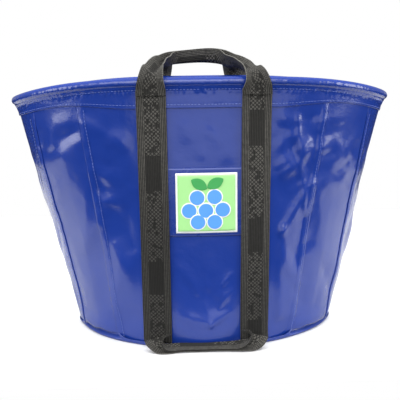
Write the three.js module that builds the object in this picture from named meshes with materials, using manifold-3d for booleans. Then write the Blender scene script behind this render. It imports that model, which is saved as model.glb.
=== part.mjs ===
// An open picking bag of glossy coated fabric: a tapered oval tub with a stiff hoop in its rim,
// two webbing straps on each face, a swinging carry handle on each face and a tipping loop at
// the foot of each face. Millimetres, +Z up, the front faces -Y, the base rests on z = 0.

import * as THREE from 'three';
import Module from 'manifold-3d';
import { ConvexGeometry } from 'three/addons/geometries/ConvexGeometry.js';
import { mergeVertices } from 'three/addons/utils/BufferGeometryUtils.js';

// ---------------------------------------------------------------- driving dimensions

// The wall's middle surface, from the base outline to the mouth outline.
const MOUTH_HALF_WIDTH = 278;
const MOUTH_HALF_DEPTH = 163;
const MOUTH_POWER = 2.5;
const BASE_HALF_WIDTH = 193.5;
const BASE_HALF_DEPTH = 146;
const BASE_POWER = 1.8;
const RIM_HEIGHT = 385;
const RIM_DROOP = 27;
const DROOP_POWER = 3.4;

// Seams between panels, as shares of the half width at the base and at the mouth.
const SIDE_SEAM = [0.96, 0.89];
const FRONT_SEAM = [0.63, 0.614];

// Sheet goods. GAP is the clearance that neighbouring pieces keep.
const SHEET = 1;
const WEBBING = 1.6;
const WEBBING_WIDTH = 40;
const GAP = 0.3;
const STRAP_CLEARANCE = 0.5;

// Hoop and the band sewn over it. Depths are measured down the wall from the rim's top.
const TUBE_RADIUS = 5;
const TUBE_BORE_RADIUS = 3.5;
const TUBE_POCKET_RADIUS = 6.5;
const TUBE_END_GAP = 1;
const JOINER_LENGTH = 80;
const BAND_DEPTH = 42;
const BAND_MIDDLE_DEPTH = 28;
const PANEL_TOP_DEPTH = 18;

// Base panel, with its edge turned up round the foot of the walls.
const BASE_SHEET = 1.5;
const BASE_EDGE_HEIGHT = 6;

// Straps: their centre line's distance from the middle of the face, and how they stand off it.
const STRAP_TOP_CENTRE = 71;
const STRAP_FOOT_CENTRE = 68;
const STRAP_FOOT_LEVEL = 10;
const STRAP_RISE_ABOVE_RIM = 1.5;
const STRAP_TOP_STAND_OFF = 8;
const STRAP_TOP_BEND_DEPTHS = [8, 20];
const STRAP_FOOT_STAND_OFF = 5;
const STRAP_FOOT_BEND_LEVEL = 26;

// Carry handle: it turns about an X axis just outside the rim.
const HANDLE_HINGE_Y = -175;
const HANDLE_HINGE_Z = 389;
const HANDLE_THICKNESS = 2;
const GRIP_HALF_LENGTH = 58;
const GRIP_LEG_OVERLAP = 14;
const GRIP_Y = [-7, -2];
const GRIP_Z = [403, 426];

// Tipping loop, lying on the ground in front of the base.
const LOOP_INNER_Y = -141.5;
const LOOP_BAR_INNER_Y = -155.5;
const LOOP_OUTER_Y = -162;
const LOOP_Z = [0.5, 6];

// Label on the front panel.
const PATCH_HALF_WIDTH = 55;
const PATCH_LEVELS = [166, 262];
const PATCH_THICKNESS = 0.8;
const PRINT_SIZE = 84;
const PRINT_CENTRE_X = 2;
const PRINT_CENTRE_LEVEL = 213;
const PRINT_THICKNESS = 0.4;

// Mesh resolution.
const WALL_ROWS = 8;
const WALL_COLUMN_WIDTH = 24;
const HEAD_STEPS = 8;
const TUBE_STEPS = 64;
const JOINER_STEPS = 12;
const TUBE_SIDES = 8;
const STRAP_COLUMNS = 2;
const STRAP_BEND_ROWS = 4;
const STRAP_STRAIGHT_ROWS = 5;
const LABEL_COLUMNS = 4;
const LABEL_ROWS = 3;
const MERGE_DISTANCE = 1e-4;

const FULL_TURN = 2 * Math.PI;
const BACK_TURN = Math.PI / 2;
const { lerp, smoothstep } = THREE.MathUtils;
const manifold = await Module();
manifold.setup();

// ---------------------------------------------------------------- materials

function finish(color, roughness) {
  return () => new THREE.MeshStandardMaterial({ color, roughness, metalness: 0 });
}

const bluePvc = finish(0x2f4fae, 0.22);
const webbing = finish(0x4a4945, 0.85);
const hoopPlastic = finish(0x2a2b2d, 0.5);
const patchPvc = finish(0x3a57b4, 0.3);
const printInk = finish(0xa8dd94, 0.35);

// ---------------------------------------------------------------- the wall surface

function signedPower(value, power) {
  return Math.sign(value) * Math.abs(value) ** power;
}

function outlinePower(height) {
  return lerp(BASE_POWER, MOUTH_POWER, height);
}

function halfWidth(height) {
  return lerp(BASE_HALF_WIDTH, MOUTH_HALF_WIDTH, height);
}

// The angle on the outline, from the right side, where the share of the half width is reached.
function shareAngle(share, height) {
  return Math.acos(signedPower(share, outlinePower(height) / 2));
}

// The quarter's marks: the side's middle, the side seam, the front seam and the front's middle.
function quarterMarks(height) {
  return [0, shareAngle(lerp(...SIDE_SEAM, height), height),
    shareAngle(lerp(...FRONT_SEAM, height), height), Math.PI / 2];
}

// Moves an angle so that it keeps its place between the marks of another height.
function moveBetweenMarks(angle, fromMarks, toMarks) {
  const quarter = Math.floor(angle / (Math.PI / 2));
  const rest = angle - quarter * (Math.PI / 2);
  const odd = Math.abs(quarter) % 2 === 1;
  const folded = odd ? Math.PI / 2 - rest : rest;
  const cell = Math.min(fromMarks.findLastIndex((mark) => mark <= folded), fromMarks.length - 2);
  const share = (folded - fromMarks[cell]) / (fromMarks[cell + 1] - fromMarks[cell]);
  const moved = lerp(toMarks[cell], toMarks[cell + 1], share);
  return quarter * (Math.PI / 2) + (odd ? Math.PI / 2 - moved : moved);
}

// Height 0 is the ground and 1 the rim. A turn is an angle on the rim, 0 at the right side and
// -90 degrees at the front. A seam keeps its turn all the way down.
function wallPoint(turn, height) {
  const angle = moveBetweenMarks(turn, quarterMarks(1), quarterMarks(height));
  const across = signedPower(Math.cos(angle), 2 / outlinePower(height));
  const along = signedPower(Math.sin(angle), 2 / outlinePower(height));
  const rim = RIM_HEIGHT - RIM_DROOP * Math.abs(across) ** DROOP_POWER;
  return new THREE.Vector3(
    across * halfWidth(height),
    along * lerp(BASE_HALF_DEPTH, MOUTH_HALF_DEPTH, height),
    height * rim,
  );
}

// The wall's point, moved outwards, square to the wall.
function besideWall(turn, height, offset) {
  const step = 1e-3;
  const round = wallPoint(turn + step, height).sub(wallPoint(turn - step, height));
  const up = wallPoint(turn, height + step).sub(wallPoint(turn, height - step));
  return wallPoint(turn, height).addScaledVector(round.cross(up).normalize(), offset);
}

// The height at a distance from the rim, measured down the wall.
function heightAtDepth(turn, depth) {
  return 1 - depth / wallPoint(turn, 1).distanceTo(wallPoint(turn, 0));
}

// The distance from the rim down the wall, at a height.
function depthAtHeight(turn, height) {
  return (1 - height) * wallPoint(turn, 1).distanceTo(wallPoint(turn, 0));
}

// The height whose z is the level given.
function heightAtLevel(turn, level) {
  return level / wallPoint(turn, 1).z;
}

// The panels in order round the bag, from the front: each one's name and the turns of its seams.
function panelSpans() {
  const [, sideMark, frontMark] = quarterMarks(1);
  const side = -sideMark;
  const front = -frontMark;
  const half = Math.PI;
  return [
    ['front_panel', -half - front, front],
    ['front_right_corner_panel', front, side],
    ['right_side_panel', side, -side],
    ['back_right_corner_panel', -side, -front],
    ['back_panel', -front, half + front],
    ['back_left_corner_panel', half + front, half + side],
    ['left_side_panel', half + side, half - side],
    ['front_left_corner_panel', half - side, half - front],
  ];
}

// The cells that a stretch of the wall is divided into.
function wallColumns(fromTurn, toTurn) {
  const width = wallPoint(fromTurn, 1).distanceTo(wallPoint(toTurn, 1));
  return Math.ceil(width / WALL_COLUMN_WIDTH);
}

// The turns at which every ring has its sections, the same as the panels' columns.
function stationTurns() {
  return panelSpans().flatMap(([, from, to]) => {
    const columns = wallColumns(from, to);
    return Array.from({ length: columns }, (_, column) => lerp(from, to, column / columns));
  });
}

// The turn of a point on the front face, from its distance to the middle.
function frontTurn(x, height) {
  const angle = -shareAngle(x / halfWidth(height), height);
  return moveBetweenMarks(angle, quarterMarks(height), quarterMarks(1));
}

// ---------------------------------------------------------------- closed mesh builders

function closedGeometry(positions, index) {
  const geometry = new THREE.BufferGeometry();
  geometry.setAttribute('position', new THREE.Float32BufferAttribute(positions, 3));
  geometry.setIndex(index);
  geometry.computeVertexNormals();
  return geometry;
}

function addQuad(index, [a, b, c, d]) {
  index.push(a, b, c, a, c, d);
}

// The border of a grid of cells as [column, row] pairs, anticlockwise.
function gridBorder(columns, rows) {
  const border = [];
  for (let column = 0; column < columns; column += 1) border.push([column, 0]);
  for (let row = 0; row < rows; row += 1) border.push([columns, row]);
  for (let column = columns; column > 0; column -= 1) border.push([column, rows]);
  for (let row = rows; row > 0; row -= 1) border.push([0, row]);
  return border;
}

// A thin slab. place(u, v, face) gives its points: u runs to the right seen from outside, v runs
// upwards, and face is 0 for the inner side and 1 for the outer.
function slab(place, columns, rows) {
  const positions = [];
  const index = [];
  const at = (face, column, row) => (face * (rows + 1) + row) * (columns + 1) + column;
  for (const face of [0, 1]) {
    for (let row = 0; row <= rows; row += 1) {
      for (let column = 0; column <= columns; column += 1) {
        positions.push(...place(column / columns, row / rows, face));
      }
    }
  }
  for (let row = 0; row < rows; row += 1) {
    for (let column = 0; column < columns; column += 1) {
      const cell = [[column, row], [column + 1, row], [column + 1, row + 1], [column, row + 1]];
      addQuad(index, cell.map((corner) => at(1, ...corner)));
      addQuad(index, cell.map((corner) => at(0, ...corner)).reverse());
    }
  }
  const border = gridBorder(columns, rows);
  border.forEach((from, step) => {
    const to = border[(step + 1) % border.length];
    addQuad(index, [at(1, ...from), at(0, ...from), at(0, ...to), at(1, ...to)]);
  });
  return closedGeometry(positions, index);
}

// A closed ring round the bag. place(turn, k) gives point k of the section, anticlockwise with
// the outside to the right.
function ring(place, sectionCount) {
  const positions = [];
  const index = [];
  const turns = stationTurns();
  for (const turn of turns) {
    for (let k = 0; k < sectionCount; k += 1) positions.push(...place(turn, k));
  }
  for (let station = 0; station < turns.length; station += 1) {
    const here = station * sectionCount;
    const next = ((station + 1) % turns.length) * sectionCount;
    for (let k = 0; k < sectionCount; k += 1) {
      const after = (k + 1) % sectionCount;
      addQuad(index, [here + k, next + k, next + after, here + after]);
    }
  }
  return closedGeometry(positions, index);
}

function toSolid(geometry) {
  const bare = geometry.clone();
  bare.deleteAttribute('normal');
  bare.deleteAttribute('uv');
  const merged = mergeVertices(bare, MERGE_DISTANCE);
  return new manifold.Manifold(new manifold.Mesh({
    numProp: 3,
    vertProperties: new Float32Array(merged.getAttribute('position').array),
    triVerts: new Uint32Array(merged.index.array),
  }));
}

function join(...geometries) {
  const mesh = geometries.map(toSolid).reduce((whole, piece) => whole.add(piece)).getMesh();
  return closedGeometry(Array.from(mesh.vertProperties), Array.from(mesh.triVerts));
}

// A box from its two ends along each axis.
function block([x0, x1], [y0, y1], [z0, z1]) {
  const geometry = new THREE.BoxGeometry(x1 - x0, y1 - y0, z1 - z0);
  return geometry.translate((x0 + x1) / 2, (y0 + y1) / 2, (z0 + z1) / 2);
}

// ---------------------------------------------------------------- the tub

// A wall panel between two turns, from just above the base sheet up into the rim band.
function wallPanel(fromTurn, toTurn) {
  const seam = GAP / MOUTH_HALF_DEPTH;
  return slab((u, v, face) => {
    const turn = lerp(fromTurn + seam, toTurn - seam, u);
    const foot = heightAtLevel(turn, BASE_SHEET + 2 * GAP);
    const height = lerp(foot, heightAtDepth(turn, PANEL_TOP_DEPTH), v);
    return besideWall(turn, height, (face - 0.5) * SHEET);
  }, wallColumns(fromTurn, toTurn), WALL_ROWS);
}

// A flat sheet under the walls, with an edge that stands up round them.
function basePanel() {
  const inner = SHEET / 2 + GAP;
  const outer = inner + SHEET;
  const middle = (inner + outer) / 2;
  const outline = new THREE.Shape(stationTurns().map((turn) => {
    const { x, y } = besideWall(turn, 0, middle);
    return new THREE.Vector2(x, y);
  }));
  const sheet = new THREE.ExtrudeGeometry(outline, { depth: BASE_SHEET, bevelEnabled: false });
  const foot = BASE_SHEET / 2;
  const section = [[outer, foot], [outer, BASE_EDGE_HEIGHT], [inner, BASE_EDGE_HEIGHT], [inner, foot]];
  const edge = ring((turn, k) => {
    const [offset, level] = section[k];
    return besideWall(turn, heightAtLevel(turn, level), offset);
  }, section.length);
  return join(sheet, edge);
}

// ---------------------------------------------------------------- the rim

// Part of a round head about the hoop, as [offset, depth] pairs, opening downwards at an offset.
function headArc(radius, halfOpening, centreDepth) {
  const open = Math.asin(halfOpening / radius);
  const points = [];
  for (let step = 0; step <= HEAD_STEPS; step += 1) {
    const angle = lerp(open - Math.PI / 2, 1.5 * Math.PI - open, step / HEAD_STEPS);
    points.push([radius * Math.cos(angle), centreDepth - radius * Math.sin(angle)]);
  }
  return points;
}

// The band: one strip of sheet folded over the hoop and down both faces of the wall.
function rimBand() {
  const inner = SHEET / 2 + GAP;
  const outer = inner + SHEET;
  const outerRadius = TUBE_POCKET_RADIUS + SHEET;
  const section = [
    [outer, BAND_DEPTH],
    [outer, BAND_MIDDLE_DEPTH],
    ...headArc(outerRadius, outer, outerRadius),
    [-outer, BAND_MIDDLE_DEPTH],
    [-outer, BAND_DEPTH],
    [-inner, BAND_DEPTH],
    [-inner, BAND_MIDDLE_DEPTH],
    ...headArc(TUBE_POCKET_RADIUS, inner, outerRadius).reverse(),
    [inner, BAND_MIDDLE_DEPTH],
    [inner, BAND_DEPTH],
  ];
  return ring((turn, k) => {
    const [offset, depth] = section[k];
    return besideWall(turn, heightAtDepth(turn, depth), offset);
  }, section.length);
}

// The hoop's centre line, from one turn to another.
class HoopLine extends THREE.Curve {
  constructor(fromTurn, toTurn) {
    super();
    this.ends = [fromTurn, toTurn];
  }

  getPoint(t, target = new THREE.Vector3()) {
    const turn = lerp(...this.ends, t);
    const depth = TUBE_POCKET_RADIUS + SHEET;
    return target.copy(wallPoint(turn, heightAtDepth(turn, depth)));
  }
}

function disc(radius) {
  const shape = new THREE.Shape();
  shape.absarc(0, 0, radius, 0, FULL_TURN);
  return shape;
}

function alongHoop(section, steps, fromTurn, toTurn) {
  return new THREE.ExtrudeGeometry(section, {
    steps,
    curveSegments: TUBE_SIDES,
    bevelEnabled: false,
    extrudePath: new HoopLine(fromTurn, toTurn),
  });
}

// A plastic tube bent to the mouth's shape, its two ends meeting at the middle of the back.
function rimTube() {
  const section = disc(TUBE_RADIUS);
  section.holes.push(disc(TUBE_BORE_RADIUS));
  const halfGap = hoopTurn(TUBE_END_GAP / 2);
  return alongHoop(section, TUBE_STEPS, BACK_TURN + halfGap, BACK_TURN + FULL_TURN - halfGap);
}

// A solid plug in the tube's bore that holds its two ends together.
function rimTubeJoiner() {
  const half = hoopTurn(JOINER_LENGTH / 2);
  return alongHoop(disc(TUBE_BORE_RADIUS - GAP), JOINER_STEPS, BACK_TURN - half, BACK_TURN + half);
}

// The turn that reaches a distance along the hoop from the middle of the back.
function hoopTurn(length) {
  return Math.PI / 2 - shareAngle(length / MOUTH_HALF_WIDTH, 1);
}

// ---------------------------------------------------------------- webbing

// How far a strap's inner face stands off the wall's middle surface.
function strapStandOff(turn, height) {
  const flat = SHEET / 2 + GAP + SHEET + STRAP_CLEARANCE;
  const depth = depthAtHeight(turn, height);
  const [bendEnd, bendStart] = STRAP_TOP_BEND_DEPTHS;
  const top = 1 - smoothstep(depth, bendEnd, bendStart);
  const foot = 1 - smoothstep(wallPoint(turn, height).z, STRAP_FOOT_LEVEL, STRAP_FOOT_BEND_LEVEL);
  return flat + top * (STRAP_TOP_STAND_OFF - flat) + foot * (STRAP_FOOT_STAND_OFF - flat);
}

// The heights of a strap's rows, close together where it bends at its foot and its top.
function strapHeights(turn) {
  const [bendEnd, bendStart] = STRAP_TOP_BEND_DEPTHS;
  const heights = [];
  for (let row = 0; row < STRAP_BEND_ROWS; row += 1) {
    const level = lerp(STRAP_FOOT_LEVEL, STRAP_FOOT_BEND_LEVEL, row / STRAP_BEND_ROWS);
    heights.push(heightAtLevel(turn, level));
  }
  const straightFrom = heightAtLevel(turn, STRAP_FOOT_BEND_LEVEL);
  const straightTo = heightAtDepth(turn, bendStart);
  for (let row = 0; row < STRAP_STRAIGHT_ROWS; row += 1) {
    heights.push(lerp(straightFrom, straightTo, row / STRAP_STRAIGHT_ROWS));
  }
  for (let row = 0; row <= STRAP_BEND_ROWS; row += 1) {
    heights.push(heightAtDepth(turn, lerp(bendStart, bendEnd, row / STRAP_BEND_ROWS)));
  }
  heights.push(heightAtDepth(turn, -STRAP_RISE_ABOVE_RIM));
  return heights;
}

// A strap sewn up the front: side is -1 for the left and 1 for the right.
function frontStrap(side) {
  const heights = strapHeights(frontTurn(side * STRAP_TOP_CENTRE, 1));
  const rows = heights.length - 1;
  return slab((u, v, face) => {
    const height = heights[Math.round(v * rows)];
    const centre = side * lerp(STRAP_FOOT_CENTRE, STRAP_TOP_CENTRE, height);
    const turn = frontTurn(centre + (u - 0.5) * WEBBING_WIDTH, height);
    return besideWall(turn, height, strapStandOff(turn, height) + face * WEBBING);
  }, STRAP_COLUMNS, rows);
}

// Half of the carry handle: a leg that narrows from flat webbing at the rim to the folded grip.
function handleLeg(side) {
  const points = [];
  for (const dx of [-WEBBING_WIDTH / 2, WEBBING_WIDTH / 2]) {
    for (const dz of [-HANDLE_THICKNESS / 2, HANDLE_THICKNESS / 2]) {
      const x = side * STRAP_TOP_CENTRE + dx;
      points.push(new THREE.Vector3(x, HANDLE_HINGE_Y - HANDLE_THICKNESS / 2, HANDLE_HINGE_Z + dz));
    }
  }
  for (const x of [side * GRIP_HALF_LENGTH, side * (GRIP_HALF_LENGTH - GRIP_LEG_OVERLAP)]) {
    for (const y of GRIP_Y) {
      for (const z of GRIP_Z) points.push(new THREE.Vector3(x, y, z));
    }
  }
  return new ConvexGeometry(points);
}

// The carry handle, leaning in over the mouth: two legs and the grip, folded lengthwise.
function frontHandle() {
  const grip = block([-GRIP_HALF_LENGTH, GRIP_HALF_LENGTH], GRIP_Y, GRIP_Z);
  return join(grip, handleLeg(-1), handleLeg(1));
}

// The tipping loop: two short legs out from the strap feet and a bar between them.
function frontTippingLoop() {
  const outer = STRAP_FOOT_CENTRE + WEBBING_WIDTH / 2;
  const inner = STRAP_FOOT_CENTRE - WEBBING_WIDTH / 2;
  const reach = [LOOP_OUTER_Y, LOOP_INNER_Y];
  return join(
    block([-outer, outer], [LOOP_OUTER_Y, LOOP_BAR_INNER_Y], LOOP_Z),
    block([-outer, -inner], reach, LOOP_Z),
    block([inner, outer], reach, LOOP_Z),
  );
}

// ---------------------------------------------------------------- label

// A flat rectangle laid on the front wall, from its x ends, its levels and its stand-off.
function onFront([x0, x1], [low, high], standOff, thickness) {
  return slab((u, v, face) => {
    const height = lerp(low, high, v) / RIM_HEIGHT;
    const turn = frontTurn(lerp(x0, x1, u), height);
    return besideWall(turn, height, standOff + face * thickness);
  }, LABEL_COLUMNS, LABEL_ROWS);
}

function labelPatch() {
  const standOff = SHEET / 2 + GAP;
  return onFront([-PATCH_HALF_WIDTH, PATCH_HALF_WIDTH], PATCH_LEVELS, standOff, PATCH_THICKNESS);
}

function labelPrint() {
  const half = PRINT_SIZE / 2;
  const standOff = SHEET / 2 + GAP + PATCH_THICKNESS + GAP;
  const across = [PRINT_CENTRE_X - half, PRINT_CENTRE_X + half];
  const levels = [PRINT_CENTRE_LEVEL - half, PRINT_CENTRE_LEVEL + half];
  return onFront(across, levels, standOff, PRINT_THICKNESS);
}

// ---------------------------------------------------------------- assembly

const bag = new THREE.Group();

function add(name, geometry, material, parent = bag) {
  const mesh = new THREE.Mesh(geometry, material());
  mesh.name = name;
  parent.add(mesh);
}

function addTub() {
  for (const [name, from, to] of panelSpans()) add(name, wallPanel(from, to), bluePvc);
  add('base_panel', basePanel(), bluePvc);
}

function addRim() {
  add('rim_band', rimBand(), bluePvc);
  add('rim_tube', rimTube(), hoopPlastic);
  add('rim_tube_joiner', rimTubeJoiner(), hoopPlastic);
}

// One face's webbing. The back's is the front's, turned half way round.
function addWebbing(face, turn) {
  const group = new THREE.Group();
  group.rotation.z = turn;
  const [first, second] = turn === 0 ? ['left', 'right'] : ['right', 'left'];
  add(`${face}_${first}_strap`, frontStrap(-1), webbing, group);
  add(`${face}_${second}_strap`, frontStrap(1), webbing, group);
  add(`${face}_handle`, frontHandle(), webbing, group);
  add(`${face}_tipping_loop`, frontTippingLoop(), webbing, group);
  bag.add(group);
}

addTub();
addRim();
addWebbing('front', 0);
addWebbing('back', Math.PI);
add('label_patch', labelPatch(), patchPvc);
add('label_print', labelPrint(), printInk);

export default bag;
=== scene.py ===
"""The looks of a hooped carrying tub in glossy coated fabric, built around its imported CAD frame.

Metres, +Z up, the front faces -Y. The walls are sewn sheets over one wall surface, with dents,
folds and seams; the webbing is lofted ribbon that folds, twists and lies on the ground.
"""

import math

import bpy
import numpy as np
from mathutils import Matrix, Vector


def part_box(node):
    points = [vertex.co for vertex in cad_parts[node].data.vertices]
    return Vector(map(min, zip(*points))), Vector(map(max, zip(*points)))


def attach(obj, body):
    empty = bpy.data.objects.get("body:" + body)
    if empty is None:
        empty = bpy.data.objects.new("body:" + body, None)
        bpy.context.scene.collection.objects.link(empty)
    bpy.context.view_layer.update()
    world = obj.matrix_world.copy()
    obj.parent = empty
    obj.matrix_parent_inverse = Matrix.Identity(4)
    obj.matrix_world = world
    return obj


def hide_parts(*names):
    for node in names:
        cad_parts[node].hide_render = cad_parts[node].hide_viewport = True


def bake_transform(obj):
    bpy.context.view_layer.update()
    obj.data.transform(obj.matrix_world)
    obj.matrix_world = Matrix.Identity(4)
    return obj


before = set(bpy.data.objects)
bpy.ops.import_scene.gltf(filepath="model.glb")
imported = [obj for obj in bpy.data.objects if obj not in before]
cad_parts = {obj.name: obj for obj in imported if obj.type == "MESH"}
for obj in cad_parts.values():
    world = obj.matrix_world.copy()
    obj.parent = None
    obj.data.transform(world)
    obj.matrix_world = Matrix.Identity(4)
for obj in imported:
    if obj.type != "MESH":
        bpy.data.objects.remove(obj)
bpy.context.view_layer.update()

# ---------- sizes: the frame's boxes, then the driving dimensions

RIM_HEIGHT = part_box("rim_band")[1].z
PATCH_LOW, PATCH_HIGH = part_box("label_patch")
PRINT_LOW, PRINT_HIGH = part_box("label_print")

MM = 0.001
SHEET = 0.9 * MM
MOUTH_HALF_WIDTH = 278 * MM
MOUTH_HALF_DEPTH = 163 * MM
MOUTH_POWER = 2.5
BASE_HALF_WIDTH = 193.5 * MM
BASE_HALF_DEPTH = 146 * MM
BASE_POWER = 1.8
RIM_DROOP = 27 * MM
MEAN_RIM_HEIGHT = RIM_HEIGHT - RIM_DROOP / 2
DROOP_POWER = 3.4
# The seams' places as shares of the half width, at the base and at the mouth.
SIDE_SEAM = (0.96, 0.89)
FRONT_SEAM = (0.63, 0.614)

PANEL_TOP_DEPTH = 20 * MM
WEBBING_WIDTH = 40 * MM
WEBBING = 1.5 * MM
STRAP_TOP_CENTRE = 71 * MM
STRAP_FOOT_CENTRE = 68 * MM

# ---------- noise

class Noise:
    """Smooth gradient noise in three dimensions, the same on each run."""

    def __init__(self, seed):
        rng = np.random.default_rng(seed)
        self.order = rng.permutation(256)
        steps = rng.normal(size=(256, 3))
        self.slopes = steps / np.linalg.norm(steps, axis=1, keepdims=True)

    def __call__(self, points):
        cell = np.floor(points).astype(int)
        inside = points - cell
        fade = inside ** 3 * (inside * (inside * 6 - 15) + 10)
        total = np.zeros(points.shape[:-1])
        for corner in np.ndindex(2, 2, 2):
            at = (cell + corner) & 255
            key = self.order[(self.order[(self.order[at[..., 0]] + at[..., 1]) & 255] + at[..., 2]) & 255]
            slope = np.sum(self.slopes[key] * (inside - corner), axis=-1)
            weight = np.prod(np.where(np.array(corner) == 1, fade, 1 - fade), axis=-1)
            total += weight * slope
        return total


def smooth(value, start, end):
    """0 before start, 1 after end, and a smooth step between."""
    t = np.clip((value - start) / (end - start), 0, 1)
    return t * t * (3 - 2 * t)


def bump(value, centre, width):
    """A smooth hump about centre."""
    return np.exp(-((value - centre) / width) ** 2)


def tent(value, start, top, end):
    """A ridge with a sharp top between two ends."""
    up = (value - start) / (top - start)
    down = (end - value) / (end - top)
    return np.clip(np.minimum(up, down), 0, 1)


# ---------- the wall surface

def signed_power(value, power):
    return np.sign(value) * np.abs(value) ** power


def between(pair, height):
    """A value at a height, from its values at the base and at the mouth."""
    return pair[0] + (pair[1] - pair[0]) * height


def outline_power(height):
    return between((BASE_POWER, MOUTH_POWER), height)


def half_width(height):
    return between((BASE_HALF_WIDTH, MOUTH_HALF_WIDTH), height)


def share_angle(share, height):
    """The angle on the outline, from the right side, that reaches a share of the half width."""
    return np.arccos(np.clip(signed_power(share, outline_power(height) / 2), -1, 1))


def quarter_marks(height):
    """The angles of the side's middle, the side seam, the front seam and the front's middle."""
    height = np.asarray(height, float)
    side = share_angle(between(SIDE_SEAM, height), height)
    front = share_angle(between(FRONT_SEAM, height), height)
    return np.stack([np.zeros_like(height), side, front, np.full_like(height, math.pi / 2)])


def move_between_marks(angle, marks, other):
    """The angle with the same place between the other marks as it has between these."""
    right = math.pi / 2
    quarter = np.floor(angle / right)
    rest = angle - quarter * right
    odd = np.mod(quarter, 2) == 1
    folded = np.where(odd, right - rest, rest)
    cell = (folded >= marks[1]).astype(int) + (folded >= marks[2])
    low, high = np.choose(cell, marks[:3]), np.choose(cell, marks[1:])
    start, end = np.choose(cell, other[:3]), np.choose(cell, other[1:])
    moved = start + (end - start) * (folded - low) / (high - low)
    return quarter * right + np.where(odd, right - moved, moved)


RIM_MARKS = quarter_marks(1.0)


def marks_like(height):
    return np.stack([np.full(np.shape(height), mark) for mark in RIM_MARKS])


def plain_wall(turn, height):
    """The wall without dents. Height is 0 at the ground and 1 at the rim."""
    turn, height = np.broadcast_arrays(np.asarray(turn, float), np.asarray(height, float))
    angle = move_between_marks(turn, marks_like(height), quarter_marks(height))
    across = signed_power(np.cos(angle), 2 / outline_power(height))
    along = signed_power(np.sin(angle), 2 / outline_power(height))
    rim = RIM_HEIGHT - RIM_DROOP * np.abs(across) ** DROOP_POWER
    half_depth = between((BASE_HALF_DEPTH, MOUTH_HALF_DEPTH), height)
    return np.stack([across * half_width(height), along * half_depth, height * rim], axis=-1)


ARC_POINTS = 8001


def lengths_along(line):
    """The length along a line of points up to each of them."""
    return np.concatenate([[0], np.cumsum(np.linalg.norm(np.diff(line, axis=0), axis=1))])


def arc_table():
    """Distances round the rim from the middle of the front, at closely spaced turns."""
    turns = np.linspace(-math.pi / 2, 1.5 * math.pi, ARC_POINTS)
    return turns, lengths_along(plain_wall(turns, np.ones_like(turns)))


TURNS, ARCS = arc_table()
ROUND = ARCS[-1]


def turn_at(arc):
    return np.interp(np.mod(arc, ROUND), ARCS, TURNS)


def arc_at_x(x, height):
    """The arc of a point on the front, from its x at a height."""
    x, height = np.broadcast_arrays(np.asarray(x, float), np.asarray(height, float))
    angle = -share_angle(x / half_width(height), height)
    turn = move_between_marks(angle, quarter_marks(height), marks_like(height))
    wrapped = np.mod(turn + math.pi / 2, 2 * math.pi) - math.pi / 2
    return np.interp(wrapped, TURNS, ARCS)


def arc_of_turn(turn):
    return float(np.interp(turn, TURNS, ARCS))


FRONT_ARC = arc_of_turn(-RIM_MARKS[2])
SIDE_ARC = arc_of_turn(-RIM_MARKS[1])
HALF = ROUND / 2
SEAM_ARCS = [FRONT_ARC, SIDE_ARC, HALF - SIDE_ARC, HALF - FRONT_ARC,
             HALF + FRONT_ARC, HALF + SIDE_ARC, ROUND - SIDE_ARC, ROUND - FRONT_ARC]

# How far the sheet's dents, the pulled facets and the foot's lip stand out or in.
BROAD_DENT = 3.6 * MM
SMALL_DENT = 0.8 * MM
FINE_DENT = 0.16 * MM
SEAM_DENT = 0.9 * MM
FACET_DEPTH = 3.2 * MM
LIP_DEPTH = 2.6 * MM
BROAD = Noise(11)
MIDDLE = Noise(12)
FINE = Noise(13)
PUCKER = Noise(14)


def from_middle(arc, middle):
    """The distance round from a middle, negative before it, at most half the round."""
    return np.mod(arc - middle + HALF, ROUND) - HALF


def seam_distance(arc):
    """The distance round the rim to the nearest upright seam."""
    return np.min([np.abs(from_middle(arc, seam)) for seam in SEAM_ARCS], axis=0)


def strap_shield(arc, height):
    """0 under a strap, where the webbing keeps the sheet flat, and 1 away from it."""
    width = half_width(height) / MOUTH_HALF_WIDTH
    nearest = np.abs(np.mod(arc + HALF / 2, HALF) - HALF / 2)
    return smooth(np.abs(nearest * width - STRAP_TOP_CENTRE), 20 * MM, 42 * MM)


def crease(value, soft=0.06):
    """Noise turned into soft ridges."""
    return np.sqrt(value * value + soft * soft) - soft


# Folds on the front: start and end as (distance round from the middle, level), then the half
# width, how far it stands out, and how sharp its back is. Millimetres.
FRONT_FOLDS = (
    ((150, 236), (112, 170), 15, 2.6, 0.5),
    ((112, 172), (108, 40), 13, 2.4, 0.6),
    ((128, 330), (142, 196), 10, 2.2, 0.3),
    ((100, 345), (140, 280), 14, 1.5, 1.0),
    ((98, 300), (150, 330), 12, -1.4, 1.0),
    ((104, 262), (146, 298), 10, 1.2, 0.8),
    ((96, 236), (128, 210), 13, -1.3, 1.0),
    ((-150, 250), (-104, 150), 20, -2.2, 1.0),
    ((-128, 150), (-100, 60), 18, 1.8, 1.0),
    ((-158, 330), (-110, 290), 16, 1.3, 1.0),
    ((-140, 215), (-98, 232), 14, 1.2, 1.0),
    ((-30, 318), (-4, 282), 20, 1.1, 1.0),
    ((10, 308), (42, 276), 20, 1.1, 1.0),
    ((-40, 285), (0, 300), 18, -0.6, 1.0),
    ((-42, 100), (30, 62), 24, -1.4, 1.0),
    ((-44, 46), (10, 36), 14, 1.6, 0.6),
    ((14, 34), (44, 52), 11, 2.0, 0.5),
    ((30, 62), (46, 84), 8, 1.6, 0.6),
    ((34, 94), (46, 110), 6, 1.6, 0.6),
    ((-46, 120), (-20, 84), 12, 1.3, 1.0),
)


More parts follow.
